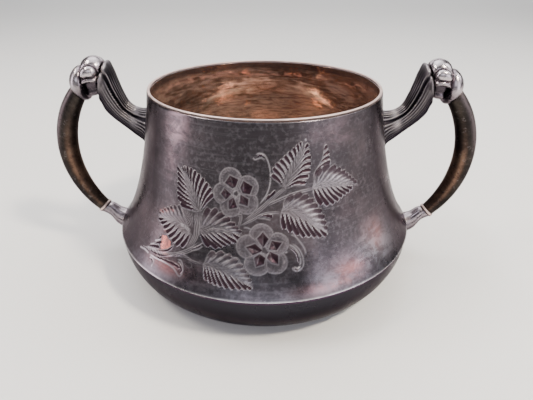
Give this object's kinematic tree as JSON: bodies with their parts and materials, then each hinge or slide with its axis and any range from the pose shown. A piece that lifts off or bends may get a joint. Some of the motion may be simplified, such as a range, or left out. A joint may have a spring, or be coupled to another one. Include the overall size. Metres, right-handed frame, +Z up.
{
  "type": "sugar bowl",
  "caption": "Open waisted bowl on a shallow flat-based dish, with a lip wire and paired loop handles clad in leaves at the top, for serving sugar.",
  "frame": {"origin": "middle of the flat base, on the surface that the bowl stands on", "axes": "+Z up through the mouth, X along the line of the two handles, -Y towards the side with the engraved flowers"},
  "size_m": [0.1852, 0.1318, 0.0915],
  "materials": {
    "body_plate": "tarnished silver plate over white metal, bright-cut, satin with brown and mauve toning",
    "dish_plate": "dark tarnished silver plate, smooth",
    "rim_silver": "worn bright silver",
    "cast_leaf": "cast silver plate, dark in the hollows and bright on the high parts",
    "bow_plate": "smooth plate worn to a brown copper tone"
  },
  "bodies": {
    "root": {"body_wall": "body_plate", "body_dish": "dish_plate", "rim_wire": "rim_silver", "right_leaf_arm": "cast_leaf", "right_knuckle": "cast_leaf", "right_collar": "cast_leaf", "right_bow": "bow_plate", "right_ferrule": "rim_silver", "right_socket": "cast_leaf", "left_leaf_arm": "cast_leaf", "left_knuckle": "cast_leaf", "left_collar": "cast_leaf", "left_bow": "bow_plate", "left_ferrule": "rim_silver", "left_socket": "cast_leaf"}
  },
  "joints": []
}
